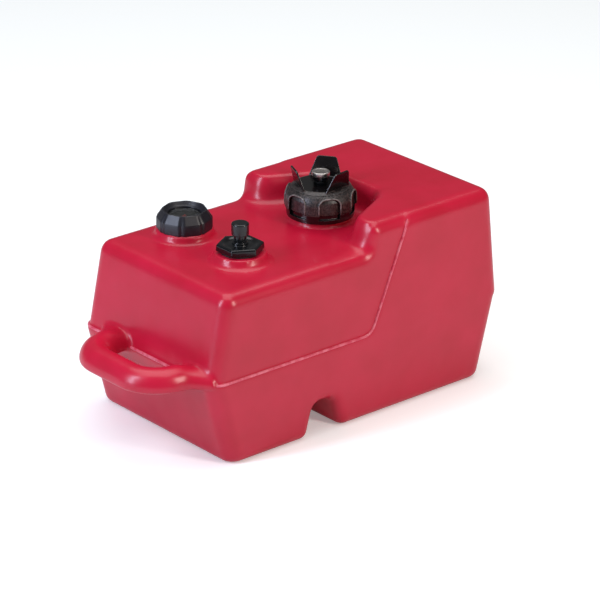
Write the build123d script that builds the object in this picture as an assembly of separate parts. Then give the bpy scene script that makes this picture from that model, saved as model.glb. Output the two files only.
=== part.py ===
from build123d import *
from math import atan, cos, radians, sin, sqrt, tan
import os

os.makedirs("parts", exist_ok=True)

# Outboard fuel tank, millimetres. +X runs from the handle to the high end, +Z is up, and the
# origin is under the middle of the whole length, on the ground.

# ---------------------------------------------------------------- driving dimensions: moulded tank
body_length = 381.0          # at the seam, without the handle
body_width = 210.0           # at the seam
handle_reach = 62.0          # how far the handle stands out in front of the seam
seam_z = 89.0                # height of the mould's parting line
low_top_z = 178.0            # top of the low front deck
high_top_z = 206.0           # top of the high rear part
wall = 4.0                   # polyethylene wall
front_undercut = 23.0        # the foot starts this far behind the seam
rear_undercut = 23.0
foot_narrowing = 0.5
front_lean = 17.8            # the front face leans back by this much up to the low deck
rear_lean = 11.4
side_lean = 2.2
panel_inset = 2.2            # the front upper panel is set in behind the ridge
seam_ledge = 1.2             # the rear wall is this much thicker above the seam
edge_radius = 14.0           # rounded edges above the seam
foot_corner_radius = 16.0
foot_radius = 9.5
step_from_front = 201.5      # foot of the wall between the low and the high deck
step_lean = 9.0              # degrees
step_foot_radius = 8.0
step_crest_radius = 10.0
bay_shoulder = 37.0          # from the tank's side to the mouth of the bay for the filler cap
bay_half_back = 34.0         # half the width at the bay's back
bay_depth = 68.0
bay_mouth_radius = 22.0
bay_back_radius = 20.0
ridge_foot_from_front = 205.0
ridge_top_from_front = 256.0
ridge_bend_radius = 16.0
tunnel_from_front = 143.8    # middle of the strap tunnel under the tank
tunnel_half_foot = 21.2
tunnel_half_crown = 12.2
tunnel_height = 34.5
tunnel_crown_radius = 11.0
tunnel_mouth_radius = 10.5

# ---------------------------------------------------------------- driving dimensions: handle
grip_width = 32.0
grip_above_seam = 18.0
grip_below_seam = 6.0
grip_centre_y = -13.0        # the handle stands off the middle, clear of the pickup
grip_corner_inset = 55.0     # from the tank's side line to a corner of its centre line
grip_corner_radius = 31.0
grip_root_inset = 47.0       # the same, where its arms go into the tank
grip_root_blend = 24.0       # length over which an arm flattens and widens

# ---------------------------------------------------------------- driving dimensions: fittings
filler_from_step = 24.5      # the filler's axis behind the foot of the step
filler_bore_radius = 24.5
neck_wall = 4.5
filler_boss_radius = 31.8
filler_boss_fillet = 2.2
boss_height = 8.0            # the filler's and the gauge's boss above the deck
pickup_boss_height = 9.0
cap_foot_gap = 0.5           # between the boss and the filler cap
cap_radius = 36.5
cap_height = 29.0            # from its foot to its flat top
cap_top_radius = 25.5
thread_pitch = 6.0
thread_turns = 1.25
thread_depth = 1.8
thread_lead_in = 3.7         # from the neck's rim down to the top of its thread
fittings_from_front = 92.5   # the gauge and the fuel pickup stand in one row
gauge_from_side = 52.0
gauge_boss_radius = 29.6
gauge_boss_fillet = 5.0
gauge_bore_radius = 19.0
gauge_neck_radius = 24.0
gauge_neck_height = 10.0
gauge_ring_radius = 28.4
gauge_skirt_height = 11.5
gauge_ring_height = 19.4
gauge_window_radius = 16.6
gauge_sweep = 270.0          # degrees from empty to full
pickup_y = -34.0
pickup_boss_radius = 26.5
pickup_boss_fillet = 8.0
pickup_bore_radius = 14.0
hex_corner_radius = 24.2
hex_height = 6.0
hex_rim = 1.2
nipple_neck_radius = 6.4
nipple_neck_height = 10.1
nipple_hub_radius = 8.0
nipple_hub_height = 2.0
dust_cap_radius = 8.7
dust_cap_height = 12.2

# ---------------------------------------------------------------- clearances
running_gap = 0.06           # radial, shaft in a bore
loose_gap = 0.3              # curved faces that never touch
slide_gap = 0.4              # guides of the float
foot_gap = 3.0               # internal pieces stop this far above the tank's floor

front = -(body_length + handle_reach) / 2 + handle_reach
rear = front + body_length
half = body_width / 2
bay_half_mouth = half - bay_shoulder
grip_half_span = half - grip_corner_inset
root_half_span = half - grip_root_inset
gauge_y = half - gauge_from_side
overrun = 30.0
boss_z = low_top_z + boss_height
pickup_boss_z = low_top_z + pickup_boss_height
filler_x = front + step_from_front + filler_from_step
fittings_x = front + fittings_from_front
floor_z = wall


# ---------------------------------------------------------------- helpers
def frustum(z_low, low, z_high, high):
    """Flat-sided block between two level rectangles, each (x_min, x_max, half_width)."""
    rings = []
    for z, (x_min, x_max, reach) in ((z_low, low), (z_high, high)):
        rings.append([(x_min, -reach, z), (x_max, -reach, z), (x_max, reach, z), (x_min, reach, z)])
    faces = [Face(Wire.make_polygon(ring, close=True)) for ring in rings]
    for i in range(4):
        j = (i + 1) % 4
        side = [rings[0][i], rings[0][j], rings[1][j], rings[1][i]]
        faces.append(Face(Wire.make_polygon(side, close=True)))
    return Solid(Shell(faces))


def turned(x, y, *points):
    """Solid of revolution about the vertical line at (x, y) from (radius, z) points."""
    profile = Plane.XZ * make_face(Polyline(*points, close=True))
    return Pos(x, y, 0) * revolve(profile, Axis.Z)


def rod(x, y, radius, z_low, z_high):
    """Upright round bar."""
    seat = (Align.CENTER, Align.CENTER, Align.MIN)
    return Pos(x, y, z_low) * Cylinder(radius, z_high - z_low, align=seat)


def tube(x, y, inner, outer, z_low, z_high):
    """Upright tube."""
    return rod(x, y, outer, z_low, z_high) - rod(x, y, inner, z_low - 1, z_high + 1)


def screw_thread(x, y, root_radius, crest_radius, z_low, turns):
    """Single right-handed thread ridge; its root sinks a little into the wall that carries it."""
    root_half = 1.4
    crest_half = 0.7
    bite = 0.25 if crest_radius > root_radius else -0.25
    path = Helix(thread_pitch, thread_pitch * turns, root_radius)
    ridge = Polyline(
        (root_radius - bite, 0, -root_half),
        (crest_radius, 0, -crest_half),
        (crest_radius, 0, crest_half),
        (root_radius - bite, 0, root_half),
        close=True,
    )
    return Pos(x, y, z_low) * sweep(make_face(ridge), path, is_frenet=True)


def save(shape, node):
    export_step(shape, f"parts/{node}.step")


# ---------------------------------------------------------------- tank body
def bay_outline(z, skin):
    """Plan of the high part at height z: the step, with the bay for the filler cap let in."""
    grow = skin - (low_top_z - z) * tan(radians(step_lean))
    slope = (bay_half_mouth - bay_half_back) / bay_depth
    flank = grow / cos(atan(slope)) - grow * slope
    x_step = front + step_from_front + grow
    x_back = x_step + bay_depth
    y_mouth = bay_half_mouth + flank
    y_back = bay_half_back + flank
    reach = half + overrun
    x_end = rear + overrun
    outline = Polyline(
        (x_step, -reach), (x_step, -y_mouth), (x_back, -y_back), (x_back, y_back),
        (x_step, y_mouth), (x_step, reach), (x_end, reach), (x_end, -reach), close=True,
    )
    face = make_face(outline)
    face = fillet([v for v in face.vertices() if abs(abs(v.Y) - y_mouth) < 0.01], bay_mouth_radius - grow)
    back = [v for v in face.vertices() if abs(v.X - x_back) < 0.01]
    return Plane.XY.offset(z) * fillet(back, bay_back_radius + grow)


def upper_body(side_inset, skin, rear_inset=0.0):
    """The tank above the seam. The insets narrow and shorten it, skin shrinks it on every face."""
    deck = low_top_z - skin
    crown = high_top_z - skin
    x_front = front + panel_inset + skin
    x_brow = x_front + front_lean
    x_end = rear + overrun
    profile = Polyline((x_front, seam_z), (x_brow, deck), (x_end, deck), (x_end, seam_z), close=True)
    side = Plane.XZ * make_face(profile)
    brow = [v for v in side.vertices() if abs(v.X - x_brow) < 0.01]
    low = extrude(fillet(brow, edge_radius + 0.5 - skin), half + overrun, both=True)
    high = loft([bay_outline(deck - wall, skin), bay_outline(crown, skin)], ruled=True)
    body = low + high

    def along_step(height):
        found = []
        for edge in body.edges():
            middle = edge.center()
            level = abs(middle.Z - height) < 0.02
            inside = abs(middle.Y) < half + overrun - 1 and middle.X < rear
            if level and inside and middle.X > front + step_from_front - wall:
                found.append(edge)
        return found

    body = fillet(along_step(deck), step_foot_radius + skin)
    body = fillet(along_step(crown), step_crest_radius - skin)

    low_reach = half - side_inset - skin
    high_reach = half - side_lean - side_inset / 2 - skin
    x_low = rear - rear_inset - skin
    x_high = x_low - rear_lean
    before = front - overrun
    body &= frustum(seam_z, (before, x_low, low_reach), crown, (before, x_high, high_reach))
    rim = []
    for edge in body.edges():
        middle = edge.center()
        share = (middle.Z - seam_z) / (crown - seam_z)
        on_side = abs(abs(middle.Y) - low_reach - (high_reach - low_reach) * share) < 0.02
        on_back = abs(middle.X - x_low - (x_high - x_low) * share) < 0.02
        if middle.Z > seam_z + 0.1 and (on_side or on_back):
            rim.append(edge)
    return fillet(rim, edge_radius - skin)


def lower_body(skin):
    """The tank below the seam, with the strap tunnel across it."""
    reach = half - skin
    foot = (front + front_undercut + skin, rear - rear_undercut - skin, reach - foot_narrowing)
    body = frustum(skin, foot, seam_z, (front + skin, rear - skin, reach))
    x = front + tunnel_from_front
    half_foot = tunnel_half_foot + skin
    half_crown = tunnel_half_crown + skin
    crown = tunnel_height + skin
    slope = (half_foot - half_crown) / crown
    below = 20.0
    arch = Polyline(
        (x - half_foot - slope * below, -below), (x - half_crown, crown),
        (x + half_crown, crown), (x + half_foot + slope * below, -below), close=True,
    )
    section = Plane.XZ * make_face(arch)
    crown_corners = [v for v in section.vertices() if v.Z > 0]
    body -= extrude(fillet(crown_corners, tunnel_crown_radius + skin / 2), body_width, both=True)
    corners = [e for e in body.edges() if e.bounding_box().size.Z > seam_z - skin - 1]
    body = fillet(corners, foot_corner_radius - skin)
    body = fillet([e for e in body.edges() if is_tunnel_mouth(e, x, skin)], tunnel_mouth_radius - skin / 2)
    sole = [e for e in body.edges() if abs(e.center().Z - skin) < 0.02]
    return fillet(sole, foot_radius - skin)


def is_tunnel_mouth(edge, x, skin):
    """True for the edges where the tunnel's arch meets a side of the tank."""
    middle = edge.center()
    near = abs(middle.X - x) < tunnel_half_foot + wall + 2
    return near and abs(middle.Y) > half - skin - 2 and skin + 0.1 < middle.Z < tunnel_height + skin + 2


def handle():
    """Moulded grip in front of the tank, with arms that flatten and widen into the front face."""
    x_bar = front - handle_reach + grip_width / 2
    x_root = front + wall * 2
    corner_y = grip_half_span
    arm = Vector(x_bar - x_root, corner_y - root_half_span, 0).normalized()
    x_start = x_root + arm.X * grip_root_blend
    start_y = root_half_span + arm.Y * grip_root_blend
    path = FilletPolyline(
        (x_start, -start_y), (x_bar, -corner_y), (x_bar, corner_y), (x_start, start_y),
        radius=grip_corner_radius,
    )
    path = Pos(0, 0, seam_z) * path

    def section(plane, width, above, below):
        top = EllipticalCenterArc((0, 0), width / 2, above, 0, arc_size=180)
        bottom = EllipticalCenterArc((0, 0), width / 2, below, 180, arc_size=180)
        return plane * make_face([top, bottom])

    start = path @ 0
    along = path % 0
    across = Vector(-along.Y, along.X, 0)
    start_plane = Plane(start, x_dir=across, z_dir=along)
    grip = sweep(section(start_plane, grip_width, grip_above_seam, grip_below_seam), path)
    for end in (-1, 1):
        way = Vector(arm.X, arm.Y * end, 0)
        side = Vector(-way.Y, way.X, 0)
        rings = []
        flare = ((0, 20, 3.5), (0.25, 13, 3.5), (0.5, 6.5, 2.8), (0.75, 1.8, 1.1), (1, 0, 0))
        for share, wider, lower in flare:
            outwards = Vector(0, wider * 0.3 * end, 0)
            place = Vector(x_root, root_half_span * end, seam_z) + way * grip_root_blend * share + outwards
            plane = Plane(place, x_dir=side, z_dir=way)
            rings.append(section(plane, grip_width + wider, grip_above_seam - lower, grip_below_seam))
        grip += loft(rings)
    return Pos(0, grip_centre_y, 0) * grip


def ridge_zone():
    """Everything above the ridge that frames the front upper panels."""
    x_foot = front + ridge_foot_from_front
    x_top = front + ridge_top_from_front
    rise = high_top_z - seam_z
    above = 2 * overrun
    lean = (x_top - x_foot) / rise
    before = front - overrun
    outline = Polyline(
        (before, seam_z), (x_foot, seam_z), (x_top + lean * above, high_top_z + above),
        (before, high_top_z + above), close=True,
    )
    face = Plane.XZ * make_face(outline)
    bend = [v for v in face.vertices() if abs(v.X - x_foot) < 0.01 and abs(v.Z - seam_z) < 0.01]
    return extrude(fillet(bend, ridge_bend_radius), body_width, both=True)


def is_boss_foot(edge, x, y, radius):
    """True for the round edge where a boss meets the low deck."""
    box = edge.bounding_box()
    near = abs(box.max.X - x) < radius + 0.1 and abs(box.max.Y - y) < radius + 0.1
    return near and abs(edge.center().Z - low_top_z) < 0.01 and edge.geom_type == GeomType.CIRCLE


zone = ridge_zone()
shell = lower_body(0) + (upper_body(0, 0) - zone) + (upper_body(panel_inset, 0) & zone)
bosses = (
    (filler_x, 0, filler_boss_radius, filler_boss_fillet, boss_z),
    (fittings_x, gauge_y, gauge_boss_radius, gauge_boss_fillet, boss_z),
    (fittings_x, pickup_y, pickup_boss_radius, pickup_boss_fillet, pickup_boss_z),
)
for boss_x, boss_y, radius, blend, top_z in bosses:
    shell += rod(boss_x, boss_y, radius, low_top_z - wall, top_z)
    foot = [e for e in shell.edges() if is_boss_foot(e, boss_x, boss_y, radius)]
    shell = fillet(foot, blend)
cavity = lower_body(wall) + upper_body(panel_inset, wall, seam_ledge)
shell = shell + handle() - cavity

# ---------------------------------------------------------------- necks of the tank
neck_radius = filler_bore_radius + neck_wall
cap_foot_z = boss_z + cap_foot_gap
cap_top_z = cap_foot_z + cap_height
cap_plate = 2.6
closure_top_z = cap_top_z - cap_plate - loose_gap
closure_disc = 2.4
gasket_thickness = 2.0
neck_top_z = closure_top_z - closure_disc - gasket_thickness
thread_z = neck_top_z - thread_lead_in - thread_pitch * thread_turns
thread_nest = 2.6            # the cap's thread hangs this far below the neck's
shell += tube(filler_x, 0, filler_bore_radius, neck_radius, low_top_z - wall, neck_top_z)
shell += screw_thread(filler_x, 0, neck_radius, neck_radius + thread_depth, thread_z, thread_turns)
shell -= rod(filler_x, 0, filler_bore_radius, low_top_z - 2 * wall, neck_top_z + 1)

gauge_neck_top_z = boss_z + gauge_neck_height
shell += rod(fittings_x, gauge_y, gauge_neck_radius, low_top_z - wall, gauge_neck_top_z)
shell -= rod(fittings_x, gauge_y, gauge_bore_radius, low_top_z - 2 * wall, gauge_neck_top_z + 1)
shell -= rod(fittings_x, pickup_y, pickup_bore_radius, low_top_z - 2 * wall, pickup_boss_z + 1)
save(shell, "tank_shell")

# ---------------------------------------------------------------- filler cap: threaded closure
closure_bore = neck_radius + thread_depth + loose_gap + 0.1
closure_wall = 2.0
closure_outer = closure_bore + closure_wall
closure_foot_z = cap_foot_z + 1.2
closure_shoulder_z = thread_z + thread_pitch * thread_turns + 2.4
neck_clear = 0.5
closure_cup = turned(
    filler_x, 0,
    (0, neck_top_z + gasket_thickness), (neck_radius + neck_clear, neck_top_z + gasket_thickness),
    (neck_radius + neck_clear, neck_top_z - 0.6), (closure_bore, closure_shoulder_z),
    (closure_bore, closure_foot_z), (closure_outer, closure_foot_z),
    (closure_outer, closure_shoulder_z - 1.6), (neck_radius + 1.7, closure_top_z - 1.0),
    (neck_radius + 0.9, closure_top_z), (0, closure_top_z),
)
vent_hole_radius = 5.2
closure_cup -= rod(filler_x, 0, vent_hole_radius + loose_gap, neck_top_z - 1, closure_top_z + 1)
cap_thread_crest = neck_radius + 0.45
closure_cup += screw_thread(filler_x, 0, closure_bore, cap_thread_crest, thread_z - thread_nest, thread_turns)
save(closure_cup, "filler_cap_closure")

gasket = tube(filler_x, 0, filler_bore_radius, neck_radius, neck_top_z, neck_top_z + gasket_thickness)
save(gasket, "filler_cap_gasket")

# ---------------------------------------------------------------- filler cap: outer grip
shoulder_z = cap_foot_z + 16.0
cap_draft = 0.5
skirt_inner = closure_outer + loose_gap
dome_mid = (cap_radius - 3.1, cap_top_z - 5.8)
crest_inner = (neck_radius + 2.1, closure_top_z - 0.9)
under_plate_z = cap_top_z - cap_plate
profile = [
    Line((0, cap_top_z), (cap_top_radius, cap_top_z)),
    ThreePointArc((cap_top_radius, cap_top_z), dome_mid, (cap_radius - cap_draft, shoulder_z)),
    Polyline(
        (cap_radius - cap_draft, shoulder_z), (cap_radius, cap_foot_z), (0, cap_foot_z), (0, cap_top_z),
    ),
]
hollow = turned(
    0, 0, (0, cap_foot_z - 1), (skirt_inner, cap_foot_z - 1), (skirt_inner, closure_shoulder_z - 1.4),
    crest_inner, (crest_inner[0] - 0.8, under_plate_z), (0, under_plate_z),
)
grip = revolve(Plane.XZ * make_face(profile), Axis.Z)
window_count = 6
window_first = 5.0           # degrees
window_half = 11.0
window_corner = 7.0
window_height = 24.0
upright_face = Plane(origin=(0, 0, 0), x_dir=(0, 1, 0), z_dir=(1, 0, 0))
opening = make_face(Polyline(
    (-window_half, cap_foot_z - 1), (window_half, cap_foot_z - 1),
    (window_half, cap_foot_z + window_height), (-window_half, cap_foot_z + window_height), close=True,
))
opening = fillet([v for v in opening.vertices() if v.Y > cap_foot_z], window_corner)
cutter = extrude(upright_face * opening, cap_radius + 2) - rod(0, 0, crest_inner[0] - 0.5, 0, cap_top_z)

paddle_count = 3
paddle_first = 36.5
paddle_height = 19.2
paddle_thickness = 2.0
paddle_foot_reach = 22.5     # from the axis to the foot of a paddle
paddle_lean = 6.0            # how far its top leans outwards
paddle_half_foot = 17.0
paddle_half_top = 10.0
paddle_corner = 3.5
paddle_root = 4.5            # its ends run down over the rounded shoulder
tilt = atan(paddle_lean / paddle_height)
slant = paddle_height / cos(tilt)
blade = make_face(Polyline(
    (-paddle_half_foot, -paddle_root), (paddle_half_foot, -paddle_root), (paddle_half_foot, 0),
    (paddle_half_top, slant), (-paddle_half_top, slant), (-paddle_half_foot, 0), close=True,
))
blade = fillet([v for v in blade.vertices() if v.Y > 1], paddle_corner)
leaning = Plane(origin=(paddle_foot_reach, 0, cap_top_z), x_dir=(0, 1, 0), z_dir=(cos(tilt), 0, -sin(tilt)))
paddle = extrude(leaning * blade, paddle_thickness / 2, both=True)
for i in range(paddle_count):
    grip += Rot(0, 0, paddle_first + i * 360 / paddle_count) * paddle
grip -= hollow
for i in range(window_count):
    grip -= Rot(0, 0, window_first + i * 360 / window_count) * cutter
grip -= rod(0, 0, vent_hole_radius + running_gap, under_plate_z - 1, cap_top_z + 1)
save(Pos(filler_x, 0, 0) * grip, "filler_cap_shell")

# ---------------------------------------------------------------- vent screw in the cap
vent_shank_radius = 3.0
vent_lift = 2.4
bush_flange_radius = 7.4
bush_flange = 2.2
bush_foot_z = closure_top_z - closure_disc - 6.0
bush_top_z = cap_top_z + bush_flange
vent_bush = tube(filler_x, 0, vent_shank_radius + running_gap, vent_hole_radius, bush_foot_z, cap_top_z)
vent_bush += tube(filler_x, 0, vent_shank_radius + running_gap, bush_flange_radius, cap_top_z, bush_top_z)
save(vent_bush, "vent_bush")

seal_height = 2.3
collar_z = bush_top_z + seal_height
collar_radius = 8.3
collar_height = 4.2
clip_height = 1.5
clip_z = bush_foot_z - vent_lift - loose_gap - clip_height
clip_bite = 0.6
screw_foot_z = clip_z - 1.6
disc_z = collar_z + collar_height
vent_neck_radius = 4.6
vent_screw = turned(
    filler_x, 0,
    (0, screw_foot_z), (vent_shank_radius, screw_foot_z), (vent_shank_radius, clip_z),
    (vent_shank_radius - clip_bite, clip_z), (vent_shank_radius - clip_bite, clip_z + clip_height),
    (vent_shank_radius, clip_z + clip_height), (vent_shank_radius, bush_top_z),
    (vent_neck_radius, bush_top_z), (vent_neck_radius, collar_z), (collar_radius - 0.8, collar_z),
    (collar_radius, collar_z + 0.8), (collar_radius, disc_z), (0, disc_z),
)
save(vent_screw, "vent_screw")
disc_radius = 9.2
disc_height = 4.8
disc_chamfer = 1.1
vent_disc = turned(
    filler_x, 0,
    (0, disc_z), (disc_radius - 0.5, disc_z), (disc_radius, disc_z + 0.5),
    (disc_radius, disc_z + disc_height - disc_chamfer), (disc_radius - disc_chamfer, disc_z + disc_height),
    (0, disc_z + disc_height),
)
save(vent_disc, "vent_disc")
save(tube(filler_x, 0, vent_neck_radius + 0.05, bush_flange_radius - 0.6, bush_top_z, collar_z), "vent_seal")
clip_bore = vent_shank_radius - clip_bite + 0.05
save(tube(filler_x, 0, clip_bore, vent_hole_radius, clip_z, clip_z + clip_height), "vent_clip")

# ---------------------------------------------------------------- fuel gauge: housing, dial and ring
gauge_gasket_height = 1.4
flange_z = gauge_neck_top_z + gauge_gasket_height
flange_height = 1.6
lens_z = flange_z + flange_height
lens_height = 1.6
lens_radius = 19.6
seat_radius = gauge_neck_radius - 0.4
ring_foot_z = boss_z + 0.3
ring_top_z = ring_foot_z + gauge_ring_height
ring_shoulder_z = ring_foot_z + gauge_skirt_height
ring_seat_z = lens_z + lens_height
ring_bore = gauge_neck_radius + loose_gap
ring = turned(
    fittings_x, gauge_y,
    (ring_bore, ring_foot_z), (gauge_ring_radius, ring_foot_z), (gauge_ring_radius, ring_shoulder_z),
    (gauge_window_radius + 4.0, ring_top_z - 0.4), (gauge_window_radius + 3.2, ring_top_z),
    (gauge_window_radius + 0.5, ring_top_z), (gauge_window_radius, ring_top_z - 0.5),
    (gauge_window_radius, ring_seat_z), (ring_bore, ring_seat_z),
)
lobe_count = 8
lobe_first = 22.5
flute_radius = 16.0
flute_depth = 1.5
flute_reach = gauge_ring_radius + flute_radius - flute_depth
flute = rod(flute_reach, 0, flute_radius, ring_foot_z - 1, ring_top_z + 1)
for i in range(lobe_count):
    turn = lobe_first + (i + 0.5) * 360 / lobe_count
    ring -= Pos(fittings_x, gauge_y, 0) * Rot(0, 0, turn) * flute
save(ring, "gauge_ring")
save(rod(fittings_x, gauge_y, lens_radius, lens_z, ring_seat_z), "gauge_lens")
seal_bore = gauge_bore_radius + 0.2
save(tube(fittings_x, gauge_y, seal_bore, seat_radius, gauge_neck_top_z, flange_z), "gauge_gasket")

dial_height = 0.8
dial_ledge = 1.5
dial_gap = 0.2               # between the dial and the housing's wall
cup_outer = gauge_bore_radius - slide_gap
cup_wall = 1.6
dial_radius = cup_outer - cup_wall - dial_gap
cup_floor_z = boss_z + 1.0
cup_floor = 1.8
dial_z = flange_z - 3.0
pin_radius = 1.2
housing = turned(
    fittings_x, gauge_y,
    (pin_radius + running_gap, cup_floor_z), (cup_outer, cup_floor_z), (cup_outer, flange_z),
    (seat_radius, flange_z), (seat_radius, lens_z), (dial_radius + dial_gap, lens_z),
    (dial_radius + dial_gap, dial_z),
    (dial_radius - dial_ledge, dial_z), (dial_radius - dial_ledge, cup_floor_z + cup_floor),
    (pin_radius + running_gap, cup_floor_z + cup_floor),
)
save(housing, "gauge_housing")
save(tube(fittings_x, gauge_y, pin_radius + 0.5, dial_radius, dial_z, dial_z + dial_height), "gauge_dial")

# ---------------------------------------------------------------- fuel gauge: float and twisted strip
rod_spacing = 10.0
rod_radius = 1.5
guide_foot_z = floor_z + foot_gap
guide_foot_height = 2.5
guide_foot_top_z = guide_foot_z + guide_foot_height
guide_rods = []
for side in (-1, 1):
    rod_x = fittings_x + side * rod_spacing
    guide_rods.append(rod(rod_x, gauge_y, rod_radius, guide_foot_top_z, cup_floor_z))
save(Compound(guide_rods), "guide_rods")
foot_plate = rod(fittings_x, gauge_y, rod_spacing + 3.0, guide_foot_z, guide_foot_top_z)
foot_plate -= rod(fittings_x, gauge_y, pin_radius + running_gap, guide_foot_z + 0.8, guide_foot_top_z + 1)
save(foot_plate, "guide_foot")

float_radius = 15.0
float_height = 22.0
float_z = guide_foot_top_z + 1.5
float_travel = cup_floor_z - 3.0 - float_height - float_z
strip_half = 3.0
strip_thickness = 0.8
strip_z = float_z - 0.5
strip_top_z = cup_floor_z - 2.0
twist_per_mm = gauge_sweep / float_travel
strip_height = strip_top_z - strip_z
strip_section = Rectangle(2 * strip_half, strip_thickness).face()
strip_twist = twist_per_mm * strip_height
strip = Solid.extrude_linear_with_rotation(strip_section, (0, 0, 0), (0, 0, strip_height), strip_twist)
strip = Pos(fittings_x, gauge_y, strip_z) * strip
strip += rod(fittings_x, gauge_y, pin_radius, guide_foot_z + 1.0, strip_z + 1)
pointer_z = dial_z + dial_height + 0.6
pointer_height = 0.7
strip += rod(fittings_x, gauge_y, pin_radius, strip_top_z - 1, pointer_z)
save(strip, "twisted_strip")

web_z = float_height - 1.2
web_height = 1.0
gauge_float = rod(0, 0, float_radius, 0, float_height)
gauge_float -= rod(0, 0, strip_half + 0.9, -1, web_z)
for side in (-1, 1):
    gauge_float -= rod(side * rod_spacing, 0, rod_radius + slide_gap, -1, float_height + 1)
slot_turn = twist_per_mm * (float_z + web_z + web_height / 2 - strip_z)
slot = Box(2 * strip_half + 2 * slide_gap, strip_thickness + 2 * slide_gap, 2 * float_height)
gauge_float -= Rot(0, 0, slot_turn) * slot
save(Pos(fittings_x, gauge_y, float_z) * gauge_float, "gauge_float")

needle_length = 13.5
needle_tail = 4.5
needle_empty = 225.0         # degrees, the empty mark
needle = Circle(2.2) + make_face(Polyline(
    (-needle_tail, -1.1), (needle_length, -0.35), (needle_length, 0.35), (-needle_tail, 1.1), close=True,
))
needle = extrude(needle, pointer_height)
save(Pos(fittings_x, gauge_y, pointer_z) * Rot(0, 0, needle_empty) * needle, "gauge_pointer")

# ---------------------------------------------------------------- fuel pickup: body and nipple
pickup_gasket_height = 2.2
hex_z = pickup_boss_z + pickup_gasket_height
hex_top_z = hex_z + hex_height
rim_z = hex_top_z + hex_rim
shank_radius = pickup_bore_radius - 0.3
shank_foot_z = low_top_z - 2 * wall
nipple_top_z = hex_top_z + nipple_neck_height
head_radius = 5.6
head_height = 8.0
head_top_z = nipple_top_z + head_height
tube_outer = 4.0
tube_bore = 2.8
socket_depth = 12.0
passage = 2.4
chamber_z = hex_z + 7.0
chamber_radius = 3.3
seat_z = head_top_z - 5.0
outlet_radius = 2.0
oring_section = 0.8
oring_radius = head_radius - oring_section + 0.35
oring_z = nipple_top_z + 3.5
hexagon = extrude(Rot(0, 0, 30) * RegularPolygon(hex_corner_radius, 6), rim_z - hex_z)
hexagon = chamfer(hexagon.edges().group_by(Axis.Z)[-1], 1.2)
hexagon = Pos(fittings_x, pickup_y, hex_z) * hexagon
dish_radius = hex_corner_radius * cos(radians(30)) - 3.2
dish = turned(
    fittings_x, pickup_y,
    (nipple_neck_radius, hex_top_z), (dish_radius - 4.0, hex_top_z - 0.6), (dish_radius, rim_z),
    (dish_radius, rim_z + 1), (0, rim_z + 1), (0, hex_top_z),
)
pickup_body = hexagon - dish + rod(fittings_x, pickup_y, shank_radius, shank_foot_z, hex_z + 1)
pickup_body += rod(fittings_x, pickup_y, nipple_neck_radius, hex_z + 1, nipple_top_z)
pickup_body += rod(fittings_x, pickup_y, nipple_hub_radius, hex_z + 1, hex_top_z + nipple_hub_height)
pickup_body += rod(fittings_x, pickup_y, head_radius, nipple_top_z - 1, head_top_z)
pickup_body -= rod(fittings_x, pickup_y, tube_outer + 0.05, shank_foot_z - 1, shank_foot_z + socket_depth)
pickup_body -= rod(fittings_x, pickup_y, passage, shank_foot_z, chamber_z + 1)
pickup_body -= rod(fittings_x, pickup_y, chamber_radius, chamber_z, seat_z)
pickup_body -= rod(fittings_x, pickup_y, outlet_radius, seat_z - 1, head_top_z + 1)
groove = Torus(oring_radius, oring_section + 0.05)
pickup_body -= Pos(fittings_x, pickup_y, oring_z) * groove
save(pickup_body, "pickup_body")
save(Pos(fittings_x, pickup_y, oring_z) * Torus(oring_radius, oring_section), "nipple_oring")
gasket_radius = hex_corner_radius * cos(radians(30)) - 1.5
save(tube(fittings_x, pickup_y, shank_radius + 0.5, gasket_radius, pickup_boss_z, hex_z), "pickup_gasket")

# ---------------------------------------------------------------- check valve in the nipple
ball_radius = 2.6
ball_drop = sqrt(ball_radius ** 2 - outlet_radius ** 2)
ball_z = seat_z - ball_drop - 0.1
save(Pos(fittings_x, pickup_y, ball_z) * Sphere(ball_radius), "check_ball")
clip_ring_height = 1.2
spring_foot_z = chamber_z + clip_ring_height
wire_radius = 0.3
coil_radius = 2.2
spring_top_z = ball_z - ball_radius + 0.2
coils = 5.0
spring_rise = spring_top_z - spring_foot_z - 2 * wire_radius
coil_path = Helix(spring_rise / coils, spring_rise, coil_radius)
wire = Plane(coil_path @ 0, z_dir=coil_path % 0) * Circle(wire_radius)
spring = sweep(wire, coil_path, is_frenet=True)
save(Pos(fittings_x, pickup_y, spring_foot_z + wire_radius) * spring, "check_spring")
save(tube(fittings_x, pickup_y, 1.3, chamber_radius, chamber_z, spring_foot_z), "spring_seat")

# ---------------------------------------------------------------- dust cap over the nipple
cap_bore = head_radius + oring_section - 0.25 + running_gap
dust_foot_z = nipple_top_z
dust_top_z = dust_foot_z + dust_cap_height
dust_cap = rod(fittings_x, pickup_y, dust_cap_radius, dust_foot_z, dust_top_z)
dust_cap = fillet(dust_cap.edges().group_by(Axis.Z)[-1], 1.6)
dust_cap -= rod(fittings_x, pickup_y, cap_bore, dust_foot_z - 1, head_top_z + 0.4)
save(dust_cap, "dust_cap")

# ---------------------------------------------------------------- pickup tube and strainer
tube_foot_z = floor_z + 8.0
pickup_tube = tube(fittings_x, pickup_y, tube_bore, tube_outer, tube_foot_z, shank_foot_z + socket_depth)
save(pickup_tube, "pickup_tube")
strainer_radius = 7.0
strainer_top_z = floor_z + 34.0
collar_foot_z = strainer_top_z - 6.0
strainer_foot_z = floor_z + foot_gap
collar = tube(fittings_x, pickup_y, tube_outer + 0.05, strainer_radius, collar_foot_z, strainer_top_z)
save(collar, "strainer_collar")
mesh = rod(fittings_x, pickup_y, strainer_radius, strainer_foot_z, collar_foot_z)
mesh -= rod(fittings_x, pickup_y, strainer_radius - 0.8, strainer_foot_z + 0.8, collar_foot_z + 1)
save(mesh, "strainer_mesh")
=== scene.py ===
from math import atan2, cos, degrees, hypot, pi, radians, sin, sqrt

import bpy
from mathutils import Matrix, Vector
from mathutils.bvhtree import BVHTree


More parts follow.
